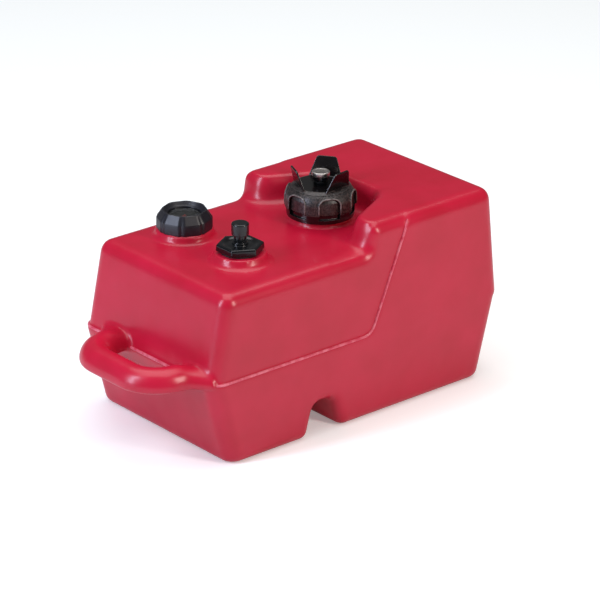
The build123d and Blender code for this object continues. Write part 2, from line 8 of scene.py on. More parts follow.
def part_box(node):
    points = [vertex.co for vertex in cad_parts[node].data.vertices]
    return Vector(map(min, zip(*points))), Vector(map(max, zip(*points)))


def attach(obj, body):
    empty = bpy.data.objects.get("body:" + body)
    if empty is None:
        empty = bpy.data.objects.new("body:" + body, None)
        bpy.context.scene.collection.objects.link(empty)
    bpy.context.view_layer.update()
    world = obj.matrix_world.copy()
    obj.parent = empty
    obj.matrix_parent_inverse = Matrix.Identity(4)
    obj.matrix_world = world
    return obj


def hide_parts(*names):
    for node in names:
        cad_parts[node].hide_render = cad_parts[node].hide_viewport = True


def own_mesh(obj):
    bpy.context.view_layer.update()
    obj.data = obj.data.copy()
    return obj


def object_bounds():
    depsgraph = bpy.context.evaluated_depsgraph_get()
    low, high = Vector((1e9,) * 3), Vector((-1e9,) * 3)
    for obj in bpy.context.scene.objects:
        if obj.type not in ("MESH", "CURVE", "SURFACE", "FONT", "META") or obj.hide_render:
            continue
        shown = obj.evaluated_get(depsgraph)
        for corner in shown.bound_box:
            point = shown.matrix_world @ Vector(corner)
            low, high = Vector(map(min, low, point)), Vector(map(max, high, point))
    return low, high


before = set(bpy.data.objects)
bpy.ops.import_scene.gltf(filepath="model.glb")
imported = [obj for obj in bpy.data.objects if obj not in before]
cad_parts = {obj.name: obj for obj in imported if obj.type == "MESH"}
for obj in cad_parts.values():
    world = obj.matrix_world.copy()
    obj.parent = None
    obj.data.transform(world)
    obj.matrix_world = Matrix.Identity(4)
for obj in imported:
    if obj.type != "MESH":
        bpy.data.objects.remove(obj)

cad_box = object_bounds()
bpy.ops.object.select_all(action="DESELECT")
mm = 0.001

# ---------------------------------------------------------------- camera
# A long lens from the front left, a little over three metres away and looking down at the tank. Its
# view transform is the plain one, so that the colours stay as they are mixed.
camera_place = Vector((-1.94921, -2.30545, 1.39434))
camera_azimuth = radians(-40.79)
camera_elevation = radians(23.11)
camera_roll = radians(0.4)
bpy.ops.object.camera_add(location=camera_place)
camera = bpy.context.object
camera.name = "studio_camera"
camera.data.sensor_width = 36.0
camera.data.lens = 195.36
camera.data.clip_end = 50.0
back = Vector((
    sin(camera_azimuth) * cos(camera_elevation), -cos(camera_azimuth) * cos(camera_elevation),
    sin(camera_elevation),
))
level = Vector((cos(camera_azimuth), sin(camera_azimuth), 0))
rise = back.cross(level)
right = level * cos(camera_roll) + rise * sin(camera_roll)
above = rise * cos(camera_roll) - level * sin(camera_roll)
camera.rotation_euler = Matrix((right, above, back)).transposed().to_euler()
bpy.context.scene.camera = camera
bpy.context.scene.view_settings.view_transform = "Standard"

# ---------------------------------------------------------------- studio
# Plain pale floor under a dim surround, a broad lamp overhead, and a tall soft box on each side of
# the camera, the left one slightly cool and the right one slightly warm.
middle = (Vector(cad_box[0]) + Vector(cad_box[1])) / 2


def linear(code):
    """Linear RGBA of an sRGB hex value."""
    parts = [int(code[i:i + 2], 16) / 255 for i in (1, 3, 5)]
    return [c / 12.92 if c <= 0.04045 else ((c + 0.055) / 1.055) ** 2.4 for c in parts] + [1.0]


def add(tree, kind, inputs=None, **settings):
    """Adds a node with its settings, and its inputs by name or number as values or as links."""
    made = tree.nodes.new(kind)
    for name, value in settings.items():
        setattr(made, name, value)
    for name, value in (inputs or {}).items():
        if isinstance(value, bpy.types.NodeSocket):
            tree.links.new(value, made.inputs[name])
        else:
            made.inputs[name].default_value = value
    return made


def finish_of(name, settings):
    """New material: its tree, its Principled shader and the place on the piece."""
    material = bpy.data.materials.new(name)
    material.use_nodes = True
    tree = material.node_tree
    shader = tree.nodes["Principled BSDF"]
    for socket, value in settings.items():
        shader.inputs[socket].default_value = value
    place = add(tree, "ShaderNodeTexCoord").outputs["Object"]
    return material, tree, shader, place


def soft_box(name, azimuth, elevation, distance, width, height, brightness, colour):
    """Area light that faces the tank from a direction in degrees; the power follows its brightness."""
    about, tip = radians(azimuth), radians(elevation)
    way = Vector((cos(about) * cos(tip), sin(about) * cos(tip), sin(tip)))
    bpy.ops.object.light_add(type="AREA", location=middle + way * distance)
    light = bpy.context.object
    light.name = name
    light.rotation_euler = way.to_track_quat("Z", "Y").to_euler()
    light.data.shape = "RECTANGLE"
    light.data.size = width
    light.data.size_y = height
    light.data.energy = brightness * pi * width * height
    light.data.color = linear(colour)[:3]


soft_box(
    "left_soft_box", azimuth=171, elevation=27, distance=1.7, width=0.30, height=1.3,
    brightness=17.5, colour="#DCE6FF",
)
soft_box(
    "right_soft_box", azimuth=-77, elevation=27, distance=1.7, width=0.30, height=0.75,
    brightness=18.0, colour="#FFF4EC",
)
soft_box(
    "overhead_lamp", azimuth=45, elevation=84, distance=2.8, width=3.0, height=3.0,
    brightness=2.3, colour="#FFFFFF",
)

surround = bpy.data.worlds.new("dim_surround")
surround.use_nodes = True
sky = surround.node_tree.nodes["Background"]
sky.inputs["Color"].default_value = linear("#FFFFFF")
sky.inputs["Strength"].default_value = 0.13
bpy.context.scene.world = surround


def paper(name, size, height, shade, glow):
    """Flat sheet of pale paper on the floor."""
    bpy.ops.mesh.primitive_plane_add(size=size, location=(0, 0, height))
    sheet = bpy.context.object
    sheet.name = name
    material, tree, shader, place = finish_of(name, {
        "Base Color": linear(shade), "Roughness": 0.95, "Specular IOR Level": 0.05,
        "Emission Color": linear("#FFFFFF"), "Emission Strength": glow,
    })
    sheet.data.materials.append(material)
    return sheet


# The sheet that shows glows a little, and a greyer one just under it sends up less light to the tank.
floor_size = 12
shown = paper("floor", floor_size, height=0, shade="#F6FAFA", glow=0.24)
shown.visible_diffuse = False
shown.visible_glossy = False
shown.visible_shadow = False
bounce = paper("bounce_sheet", floor_size, height=-0.2 * mm, shade="#E4E4E8", glow=0.08)
bounce.visible_camera = False

# ---------------------------------------------------------------- tank
# Hollow body, handle, bosses and necks, blow moulded in one piece from high density polyethylene that
# is dyed red right through. The mould rounds every edge. Its halves leave a bead along their joint,
# which climbs the sides beside the high part, and the cooling skin has a satin face with faint waves.


def select_only(*pieces):
    """Makes these the only objects selected, and the first of them active."""
    bpy.ops.object.select_all(action="DESELECT")
    for piece in pieces:
        piece.select_set(True)
    bpy.context.view_layer.objects.active = pieces[0]


def apply(piece, kind, **settings):
    """Adds one modifier and applies it."""
    select_only(piece)
    modifier = piece.modifiers.new(kind.lower(), kind)
    for name, value in settings.items():
        setattr(modifier, name, value)
    bpy.ops.object.modifier_apply(modifier=modifier.name)


def select_where(piece, test):
    """Selects the vertices of a piece in edit mode by their place, and leaves it in edit mode."""
    select_only(piece)
    bpy.ops.object.mode_set(mode="EDIT")
    bpy.ops.mesh.select_mode(type="VERT")
    bpy.ops.mesh.select_all(action="DESELECT")
    bpy.ops.object.mode_set(mode="OBJECT")
    for vertex in piece.data.vertices:
        vertex.select = test(vertex.co)
    bpy.ops.object.mode_set(mode="EDIT")


def copy_of(name, node):
    """Editable copy of a CAD node's mesh, with its loose triangles merged."""
    piece = bpy.data.objects.new(name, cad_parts[node].data.copy())
    bpy.context.scene.collection.objects.link(piece)
    piece.data.materials.clear()
    select_only(piece)
    bpy.ops.object.mode_set(mode="EDIT")
    bpy.ops.mesh.select_all(action="SELECT")
    bpy.ops.mesh.remove_doubles(threshold=0.002 * mm)
    bpy.ops.object.mode_set(mode="OBJECT")
    return piece


def round_over(piece, grain, passes, triangles):
    """One closed skin over a piece, with its edges rounded as a mould rounds them."""
    if grain:
        apply(piece, "REMESH", mode="VOXEL", voxel_size=grain * 1.0)
    apply(piece, "SMOOTH", factor=0.5, iterations=passes)
    select_only(piece)
    bpy.ops.object.shade_smooth()
    now = sum(len(face.vertices) - 2 for face in piece.data.polygons)
    if now > triangles:
        dense = bpy.data.objects.new("dense_skin", piece.data.copy())
        bpy.context.scene.collection.objects.link(dense)
        apply(piece, "DECIMATE", ratio=triangles / now)
        apply(
            piece, "DATA_TRANSFER", object=dense, use_loop_data=True,
            data_types_loops={"CUSTOM_NORMAL"}, loop_mapping="POLYINTERP_NEAREST",
        )
        bpy.data.objects.remove(dense)


def bead(name, points, radius, bends=None):
    """Round bead along straight runs between points; bends maps a corner's number to its cut-back."""
    wire = bpy.data.meshes.new(name)
    links = [(i, i + 1) for i in range(len(points) - 1)]
    wire.from_pydata([Vector(point) for point in points], links, [])
    piece = bpy.data.objects.new(name, wire)
    bpy.context.scene.collection.objects.link(piece)
    for corner, cut in sorted((bends or {}).items(), reverse=True):
        place = Vector(points[corner])
        select_where(piece, lambda at: (at - place).length < 0.01 * mm)
        bpy.ops.mesh.bevel(offset=cut, segments=8, affect="VERTICES")
        bpy.ops.object.mode_set(mode="OBJECT")
    select_only(piece)
    bpy.ops.object.convert(target="CURVE")
    piece.data.bevel_depth = radius
    piece.data.bevel_resolution = 3
    piece.data.use_fill_caps = True
    for end in (0, -1):
        piece.data.splines[0].points[end].radius = 0.35
    bpy.ops.object.convert(target="MESH")
    return piece


def turned(name, profile, x, y, steps):
    """Piece turned round an upright axis from a profile of radii and heights."""
    wire = bpy.data.meshes.new(name)
    points = [Vector((x + radius * mm, y, height)) for radius, height in profile]
    wire.from_pydata(points, [(i, i + 1) for i in range(len(points) - 1)], [])
    piece = bpy.data.objects.new(name, wire)
    bpy.context.scene.collection.objects.link(piece)
    select_only(piece)
    bpy.ops.object.mode_set(mode="EDIT")
    bpy.ops.mesh.select_all(action="SELECT")
    bpy.ops.mesh.spin(steps=steps, angle=2 * pi, center=(x, y, 0), axis=(0, 0, 1))
    bpy.ops.mesh.select_all(action="SELECT")
    bpy.ops.mesh.remove_doubles(threshold=0.001 * mm)
    bpy.ops.mesh.normals_make_consistent(inside=False)
    bpy.ops.object.mode_set(mode="OBJECT")
    return piece


tank = copy_of("tank_skin", "tank_shell")
skin_grain = 2.2 * mm
apply(tank, "REMESH", mode="VOXEL", voxel_size=skin_grain)

# The thick wall can't follow a sharp corner, so the bay, the step and the feet of the bosses run into
# one another in wide soft curves.
low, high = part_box("filler_cap_closure")
filler_x = (low[0] + high[0]) / 2
boss_height = 8.3 * mm
low_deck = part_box("gauge_ring")[0][2] - boss_height
bay_bottom, bay_top = low_deck - 4 * mm, low_deck + 26 * mm
bay_front, bay_back = -2 * mm, 128 * mm
bay_half_width = 96 * mm
cap_room = 37.3 * mm


def soft_place(at):
    """Whether a point is on the bay, the step or a boss's foot, outside the necks and the cap."""
    near_cap = hypot(at.x - filler_x, at.y) < cap_room
    in_bay = bay_bottom < at.z < bay_top and bay_front < at.x < bay_back and abs(at.y) < bay_half_width
    return in_bay and not near_cap


select_where(tank, soft_place)
bpy.ops.mesh.vertices_smooth(factor=0.5, repeat=30)
bpy.ops.object.mode_set(mode="OBJECT")
apply(tank, "SMOOTH", factor=0.5, iterations=2)

# Only the cavity's skin is made coarser, because none of it shows.
walls = BVHTree.FromPolygons(
    [vertex.co for vertex in tank.data.vertices], [face.vertices for face in tank.data.polygons]
)
ways = [Vector(way) for way in ((0, 0, 1), (0, 1, 0), (0, -1, 0), (1, 0, 0), (-1, 0, 0), (0, 0, -1))]
cavity = tank.vertex_groups.new(name="cavity")
shut_in = []
for vertex in tank.data.vertices:
    just_off = vertex.co + vertex.normal * 0.4 * mm
    if all(walls.ray_cast(just_off, way)[0] for way in ways):
        shut_in.append(vertex.index)
cavity.add(shut_in, 1.0, "REPLACE")
thinned_share = 0.93
kept = 1 - thinned_share * len(shut_in) / len(tank.data.vertices)
apply(tank, "DECIMATE", ratio=kept, vertex_group="cavity")
select_only(tank)
bpy.ops.object.shade_smooth()

# The bead runs round the front at the seam's height, then climbs the sides to the high deck, and its
# ends sink into the rounded edge there.
half_width = 105 * mm
seam_height = 89 * mm
seam_front = -159.5 * mm
panel_inset = 2.2 * mm
rise_of_sides = 117 * mm
lean_of_sides = 1.3 * mm
climb_foot = seam_front + 205 * mm
climb_slope = 51 * mm / rise_of_sides
bead_radius = 1.45 * mm
bead_inset = bead_radius + 0.05 * mm
bead_height = seam_height + 1.0 * mm
climb_end = 201 * mm
last_run = 9 * mm
end_sinks = 1.3 * mm
bead_front = seam_front + panel_inset - 0.6 * mm
bead_side = half_width - bead_inset
climb_x = climb_foot - 1.2 * mm


def climb_point(side, height, sunk=0.0):
    """Point of the bead beside the high part; the sides lean in as they rise."""
    share = (height - seam_height) / rise_of_sides
    inwards = bead_inset + lean_of_sides * share + sunk
    return (climb_x + (height - seam_height) * climb_slope, side * (half_width - inwards), height)


seam_bead = bead("seam_bead", [
    climb_point(1, climb_end, end_sinks), climb_point(1, climb_end - last_run),
    climb_point(1, bead_height), (bead_front, bead_side, bead_height),
    (bead_front, -bead_side, bead_height), climb_point(-1, bead_height),
    climb_point(-1, climb_end - last_run), climb_point(-1, climb_end, end_sinks),
], bead_radius, bends={2: 9.5 * mm, 3: 15 * mm, 4: 15 * mm, 5: 9.5 * mm})
select_only(seam_bead)
bpy.ops.object.shade_smooth()

# Dyed polyethylene off a fine blasted mould: soft even sheen, a trace of cloud in its red, and shallow
# waves some 30 mm long.
red, red_tree, red_shader, place = finish_of("moulded_polyethylene_red", {"IOR": 1.5})
clouds = add(red_tree, "ShaderNodeTexNoise", {"Vector": place, "Scale": 1 / 0.045, "Detail": 3.0})
shades = add(red_tree, "ShaderNodeValToRGB", {"Fac": clouds.outputs["Fac"]})
shades.color_ramp.elements[0].position = 0.3
shades.color_ramp.elements[0].color = linear("#B8112F")
shades.color_ramp.elements[1].position = 0.7
shades.color_ramp.elements[1].color = linear("#C21537")
red_tree.links.new(shades.outputs["Color"], red_shader.inputs["Base Color"])
patches = add(red_tree, "ShaderNodeTexNoise", {"Vector": place, "Scale": 1 / 0.02, "Detail": 2.0})
satin = add(red_tree, "ShaderNodeMapRange", {
    "Value": patches.outputs["Fac"], "To Min": 0.27, "To Max": 0.33,
})
red_tree.links.new(satin.outputs["Result"], red_shader.inputs["Roughness"])
waves = add(red_tree, "ShaderNodeTexNoise", {"Vector": place, "Scale": 1 / 0.03, "Detail": 1.0})
wave_bump = add(red_tree, "ShaderNodeBump", {
    "Height": waves.outputs["Fac"], "Distance": 0.001, "Strength": 0.5,
})
red_tree.links.new(wave_bump.outputs["Normal"], red_shader.inputs["Normal"])
tank.data.materials.append(red)
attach(tank, "tank")
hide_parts("tank_shell")

# The bead is drawn paler pink, in short runs: a painted highlight along the joint.
seam_highlight_paint, seam_highlight_tree, seam_highlight_shader, place = finish_of("polyethylene_pink_painted_highlight", {
    "IOR": 1.5, "Roughness": 0.3,
})
highlight_runs = add(seam_highlight_tree, "ShaderNodeTexNoise", {"Vector": place, "Scale": 1 / 0.006, "Detail": 3.0})
highlight_pinks = add(seam_highlight_tree, "ShaderNodeValToRGB", {"Fac": highlight_runs.outputs["Fac"]})
highlight_pinks.color_ramp.elements[0].position = 0.35
highlight_pinks.color_ramp.elements[0].color = linear("#CE3A55")
highlight_pinks.color_ramp.elements[1].position = 0.65
highlight_pinks.color_ramp.elements[1].color = linear("#E07384")
seam_highlight_tree.links.new(highlight_pinks.outputs["Color"], seam_highlight_shader.inputs["Base Color"])
seam_bead.data.materials.append(seam_highlight_paint)
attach(seam_bead, "tank")

# ---------------------------------------------------------------- filler cap
# Outer grip in black glass filled nylon, with six windows, each framed by a bead, and three upright
# blades. Its mould was spark eroded, so the shoulder and skirt have a coarse grain, and the blades and
# the turned-in foot ring are smooth.
cap_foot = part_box("filler_cap_shell")[0][2]
cap_plate = cap_foot + 29 * mm
ring_top = cap_foot + 6.3 * mm
foot_radius = 36.5 * mm
skirt_height = 16 * mm
skirt_draft = 0.5 * mm
shoulder_height = 13 * mm
shoulder_depth = 10.5 * mm


def grip_radius(height):
    """Radius of the grip's outside at a height: a slight draft, then the rounded shoulder."""
    rise_up = height - cap_foot
    if rise_up < skirt_height:
        return foot_radius - skirt_draft * rise_up / skirt_height
    share = (rise_up - skirt_height) / shoulder_height
    return foot_radius - skirt_draft - shoulder_depth * (1 - sqrt(max(0.0, 1 - share ** 2)))


def pipe(radius, depth):
    """Upright cylinder about the cap's axis, across the height of the foot ring."""
    bpy.ops.mesh.primitive_cylinder_add(
        vertices=96, radius=radius, depth=depth, location=(filler_x, 0, (ring_top + cap_foot) / 2 - 1 * mm),
    )
    bpy.ops.object.transform_apply(location=True, rotation=True, scale=True)
    return bpy.context.object


def set_in_foot(piece, inner, outer):
    """Cuts a ring away round a piece's foot, between two radii."""
    cutter = pipe(outer, ring_top - cap_foot + 2 * mm)
    core = pipe(inner, ring_top - cap_foot + 6 * mm)
    apply(cutter, "BOOLEAN", operation="DIFFERENCE", object=core, solver="EXACT")
    bpy.data.objects.remove(core)
    apply(piece, "BOOLEAN", operation="DIFFERENCE", object=cutter, solver="EXACT")
    bpy.data.objects.remove(cutter)


cap_grip = copy_of("filler_cap_grip", "filler_cap_shell")
set_in_foot(cap_grip, foot_radius - 1.5 * mm, foot_radius + 3 * mm)

# Each frame is one bead up a side of its window, round the top and down the other side. Its right half
# is listed as shares of the window's half width and heights in mm, and the left half mirrors it.
window_half = 11.3 * mm
window_top = cap_foot + 24 * mm
frame_radius = 0.95 * mm
right_half = [
    (0.35, 24), (0.6, 23.2), (0.78, 22), (0.93, 20), (1.0, 17.5), (1.0, 15), (1.0, 11), (1.0, 6.5),
]
outline = [(-across, height) for across, height in reversed(right_half)] + [(0, 24.1)] + right_half
frames = []
for number in range(6):
    about = radians(5 + 60 * number)
    path = []
    for across, height in outline:
        u = across * window_half
        z = cap_foot + height * mm
        out = sqrt(grip_radius(z) ** 2 - u ** 2)
        path.append((filler_x + out * cos(about) - u * sin(about), out * sin(about) + u * cos(about), z))
    frames.append(bead("window_frame", path, frame_radius))
select_only(cap_grip, *frames)
bpy.ops.object.join()
apply(cap_grip, "REMESH", mode="VOXEL", voxel_size=0.36 * mm)
select_where(cap_grip, lambda at: at.z > cap_plate + 1.2 * mm)
bpy.ops.mesh.vertices_smooth(factor=0.5, repeat=6)
bpy.ops.object.mode_set(mode="OBJECT")
round_over(cap_grip, grain=None, passes=2, triangles=150000)

# Spark eroded nylon is dull and pitted. Its pale speckle is painted glints off the grit. The real grit is
# about 0.3 mm, and it is drawn at 1.4 to 1.6 mm so that it shows.
grained, grained_tree, grained_shader, place = finish_of("spark_eroded_nylon_black", {"IOR": 1.53})
speckle = add(grained_tree, "ShaderNodeTexNoise", {"Vector": place, "Scale": 1 / 0.0016, "Detail": 3.0})
painted_glint_greys = add(grained_tree, "ShaderNodeValToRGB", {"Fac": speckle.outputs["Fac"]})
painted_glint_greys.color_ramp.elements[0].position = 0.4
painted_glint_greys.color_ramp.elements[0].color = linear("#0E0A0B")
painted_glint_greys.color_ramp.elements[1].position = 0.64
painted_glint_greys.color_ramp.elements[1].color = linear("#453A38")
grained_tree.links.new(painted_glint_greys.outputs["Color"], grained_shader.inputs["Base Color"])
matt = add(grained_tree, "ShaderNodeMapRange", {
    "Value": speckle.outputs["Fac"], "To Min": 0.46, "To Max": 0.3,
})
grained_tree.links.new(matt.outputs["Result"], grained_shader.inputs["Roughness"])
grit = add(grained_tree, "ShaderNodeTexNoise", {"Vector": place, "Scale": 1 / 0.0014, "Detail": 4.0})
grit_bump = add(grained_tree, "ShaderNodeBump", {
    "Height": grit.outputs["Fac"], "Distance": 0.0004, "Strength": 0.6,
})
grained_tree.links.new(grit_bump.outputs["Normal"], grained_shader.inputs["Normal"])

# Polished parts of the mould leave the same nylon black and rather glossy.
smooth, smooth_tree, smooth_shader, place = finish_of("smooth_nylon_black", {"IOR": 1.53})
flow = add(smooth_tree, "ShaderNodeTexNoise", {"Vector": place, "Scale": 1 / 0.006, "Detail": 2.0})
blacks = add(smooth_tree, "ShaderNodeValToRGB", {"Fac": flow.outputs["Fac"]})
blacks.color_ramp.elements[0].color = linear("#080607")
blacks.color_ramp.elements[1].color = linear("#100C0D")
smooth_tree.links.new(blacks.outputs["Color"], smooth_shader.inputs["Base Color"])
polish = add(smooth_tree, "ShaderNodeMapRange", {
    "Value": flow.outputs["Fac"], "To Min": 0.16, "To Max": 0.24,
})
smooth_tree.links.new(polish.outputs["Result"], smooth_shader.inputs["Roughness"])

# The window frames stand proud, and their paler grey is a painted highlight along the beads.
frame_highlight_paint, frame_highlight_tree, frame_highlight_shader, place = finish_of("nylon_grey_painted_highlight", {"IOR": 1.53, "Roughness": 0.34})
frame_highlight_mottle = add(frame_highlight_tree, "ShaderNodeTexNoise", {"Vector": place, "Scale": 1 / 0.003, "Detail": 3.0})
frame_highlight_greys = add(frame_highlight_tree, "ShaderNodeValToRGB", {"Fac": frame_highlight_mottle.outputs["Fac"]})
frame_highlight_greys.color_ramp.elements[0].position = 0.35
frame_highlight_greys.color_ramp.elements[0].color = linear("#4A4341")
frame_highlight_greys.color_ramp.elements[1].position = 0.65
frame_highlight_greys.color_ramp.elements[1].color = linear("#7C7472")
frame_highlight_tree.links.new(frame_highlight_greys.outputs["Color"], frame_highlight_shader.inputs["Base Color"])
for finish in (grained, smooth, frame_highlight_paint):
    cap_grip.data.materials.append(finish)


def finish_faces(piece, number_at):
    """Gives each face the piece's material whose number a function finds for its middle."""
    for face in piece.data.polygons:
        face.material_index = number_at(face.center)


ring_edge = ring_top - 0.2 * mm
plate_radius = 24.6 * mm
frame_stands_out = 0.4 * mm


def grip_finish(at):
    """Smooth foot ring, plate and blades (1), frames with painted highlight (2), and grain elsewhere (0)."""
    out = hypot(at.x - filler_x, at.y)
    if at.z < ring_edge or at.z > cap_plate + 0.6 * mm:
        return 1
    if at.z > cap_plate - 1 * mm and out < plate_radius:
        return 1
    on_frame = at.z < window_top + 1.5 * mm and out > grip_radius(at.z) + frame_stands_out
    return 2 if on_frame else 0


finish_faces(cap_grip, grip_finish)
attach(cap_grip, "filler_cap")
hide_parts("filler_cap_shell")

# Threaded cup inside the grip, moulded in the same grained nylon and seen through the windows. It
# ratchets in the grip, and the same smooth ring runs round its foot.
cap_cup = copy_of("filler_cap_cup", "filler_cap_closure")
set_in_foot(cap_cup, 32.3 * mm, 36 * mm)
band_foot, band_top = cap_foot - 2.6 * mm, cap_foot + 2 * mm
foot_band = turned("foot_band", [
    (32.8, band_foot), (34.4, band_foot), (34.8, band_top), (32.8, band_top), (32.8, band_foot),
], filler_x, 0, 96)
select_only(cap_cup, foot_band)
bpy.ops.object.join()
round_over(cap_cup, grain=0.4 * mm, passes=2, triangles=100000)
cap_cup.data.materials.append(grained)
cap_cup.data.materials.append(smooth)
finish_faces(cap_cup, lambda at: 1 if at.z < ring_edge else 0)
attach(cap_cup, "filler_cap")
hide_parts("filler_cap_closure")

# ---------------------------------------------------------------- seals
# Cap gasket, vent seal, the flat gaskets under the gauge and the pickup, and the nipple's O-ring:
# all black nitrile rubber, die cut or moulded, matt with a dusty bloom.


def dress(material, *nodes):
    """Gives CAD nodes a better material in place of their own."""
    for node in nodes:
        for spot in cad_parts[node].material_slots:
            spot.material = material


seal, seal_tree, seal_shader, place = finish_of("nitrile_rubber_black", {"IOR": 1.52})
bloom = add(seal_tree, "ShaderNodeTexNoise", {"Vector": place, "Scale": 1 / 0.003, "Detail": 4.0})
dusty = add(seal_tree, "ShaderNodeValToRGB", {"Fac": bloom.outputs["Fac"]})
dusty.color_ramp.elements[0].position = 0.4
dusty.color_ramp.elements[0].color = linear("#121212")
dusty.color_ramp.elements[1].position = 0.75
dusty.color_ramp.elements[1].color = linear("#242322")
seal_tree.links.new(dusty.outputs["Color"], seal_shader.inputs["Base Color"])
dull = add(seal_tree, "ShaderNodeMapRange", {"Value": bloom.outputs["Fac"], "To Min": 0.55, "To Max": 0.7})
seal_tree.links.new(dull.outputs["Result"], seal_shader.inputs["Roughness"])
dress(seal, "filler_cap_gasket", "vent_seal", "gauge_gasket", "pickup_gasket", "nipple_oring")

# ---------------------------------------------------------------- vent bush and screw
# Bush pressed into the cap's plate, and the screw that turns in it, both moulded in black acetal with
# a high gloss. A steel clip under the screw keeps it in.
gloss, gloss_tree, gloss_shader, place = finish_of("glossy_acetal_black", {"IOR": 1.48})
ripple = add(gloss_tree, "ShaderNodeTexNoise", {"Vector": place, "Scale": 1 / 0.008, "Detail": 1.0})
jet = add(gloss_tree, "ShaderNodeValToRGB", {"Fac": ripple.outputs["Fac"]})
jet.color_ramp.elements[0].color = linear("#08090B")
jet.color_ramp.elements[1].color = linear("#121418")
gloss_tree.links.new(jet.outputs["Color"], gloss_shader.inputs["Base Color"])
shine = add(gloss_tree, "ShaderNodeMapRange", {
    "Value": ripple.outputs["Fac"], "To Min": 0.12, "To Max": 0.2,
})
gloss_tree.links.new(shine.outputs["Result"], gloss_shader.inputs["Roughness"])
ripple_bump = add(gloss_tree, "ShaderNodeBump", {
    "Height": ripple.outputs["Fac"], "Distance": 0.0003, "Strength": 0.4,
})
gloss_tree.links.new(ripple_bump.outputs["Normal"], gloss_shader.inputs["Normal"])
dress(gloss, "vent_bush", "vent_screw")

# ---------------------------------------------------------------- vent disc
# Knob plate of the vent screw, pressed from stainless steel and polished: a flat rim round a shallow
# dish, a rolled edge, and fine scratches one way across the top.
disc_low, disc_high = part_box("vent_disc")
foot, top = disc_low[2], disc_high[2]
disc = turned("vent_knob_plate", [
    (0, foot), (8.4, foot), (9.0, foot + 0.2 * mm), (9.2, foot + 0.7 * mm), (9.2, top - 1.1 * mm),
    (9.05, top - 0.5 * mm), (8.6, top - 0.12 * mm), (8.0, top), (7.2, top - 0.05 * mm),
    (6.6, top - 0.3 * mm), (5.6, top - 0.42 * mm), (0, top - 0.25 * mm),
], filler_x, 0, 64)
select_only(disc)
bpy.ops.object.shade_smooth_by_angle(angle=radians(35))

steel, steel_tree, steel_shader, place = finish_of("polished_stainless", {"Metallic": 1.0})
drawn = add(steel_tree, "ShaderNodeMapping", {
    "Vector": place, "Scale": (1.0, 9.0, 1.0), "Rotation": (0, 0, 0.5),
})
streaks = add(steel_tree, "ShaderNodeTexNoise", {
    "Vector": drawn.outputs["Vector"], "Scale": 1 / 0.0035, "Detail": 4.0,
})
bright = add(steel_tree, "ShaderNodeValToRGB", {"Fac": streaks.outputs["Fac"]})
bright.color_ramp.elements[0].position = 0.3
bright.color_ramp.elements[0].color = linear("#9A9390")
bright.color_ramp.elements[1].position = 0.7
bright.color_ramp.elements[1].color = linear("#E6E1DC")
steel_tree.links.new(bright.outputs["Color"], steel_shader.inputs["Base Color"])
brushed = add(steel_tree, "ShaderNodeMapRange", {
    "Value": streaks.outputs["Fac"], "To Min": 0.28, "To Max": 0.4,
})
steel_tree.links.new(brushed.outputs["Result"], steel_shader.inputs["Roughness"])
streak_bump = add(steel_tree, "ShaderNodeBump", {
    "Height": streaks.outputs["Fac"], "Distance": 0.0003, "Strength": 0.5,
})
steel_tree.links.new(streak_bump.outputs["Normal"], steel_shader.inputs["Normal"])
disc.data.materials.append(steel)
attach(disc, "vent_screw")
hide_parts("vent_disc")
dress(steel, "vent_clip")

# ---------------------------------------------------------------- gauge ring and housing
# Screw ring with eight finger lobes, and the cup that it clamps to the neck, both injection moulded in
# black nylon. A fine blasted mould gives them a satin face with a faint blue cast.
satin_black, satin_tree, satin_shader, place = finish_of("satin_nylon_black", {"IOR": 1.53})
mist = add(satin_tree, "ShaderNodeTexNoise", {"Vector": place, "Scale": 1 / 0.005, "Detail": 3.0})
inks = add(satin_tree, "ShaderNodeValToRGB", {"Fac": mist.outputs["Fac"]})
inks.color_ramp.elements[0].color = linear("#0D0D12")
inks.color_ramp.elements[1].color = linear("#191924")
satin_tree.links.new(inks.outputs["Color"], satin_shader.inputs["Base Color"])
sheen = add(satin_tree, "ShaderNodeMapRange", {
    "Value": mist.outputs["Fac"], "To Min": 0.34, "To Max": 0.46,
})
satin_tree.links.new(sheen.outputs["Result"], satin_shader.inputs["Roughness"])

# The blasted grain is finer than this, and it is drawn at 0.9 mm so that it shows.
fine = add(satin_tree, "ShaderNodeTexNoise", {"Vector": place, "Scale": 1 / 0.0009, "Detail": 2.0})
fine_bump = add(satin_tree, "ShaderNodeBump", {
    "Height": fine.outputs["Fac"], "Distance": 0.0001, "Strength": 0.4,
})
satin_tree.links.new(fine_bump.outputs["Normal"], satin_shader.inputs["Normal"])
ring_low, ring_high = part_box("gauge_ring")
gauge_x = (ring_low[0] + ring_high[0]) / 2
gauge_y = (ring_low[1] + ring_high[1]) / 2
foot, top = ring_low[2], ring_high[2]
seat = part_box("gauge_lens")[1][2]
gauge_ring = turned("gauge_screw_ring", [
    (24.3, seat), (24.3, foot), (27.0, foot), (27.3, foot + 0.4 * mm), (27.2, top - 8.6 * mm),
    (26.9, top - 7.9 * mm), (22.3, top - 1.2 * mm), (21.8, top - 0.3 * mm), (21.2, top),
    (20.6, top - 0.2 * mm), (20.2, top - 0.9 * mm), (18.6, top - 2.2 * mm), (18.2, top - 2.9 * mm),
    (17.1, top - 3.7 * mm), (16.7, top - 4.3 * mm), (16.6, seat), (24.3, seat),
], gauge_x, gauge_y, 192)

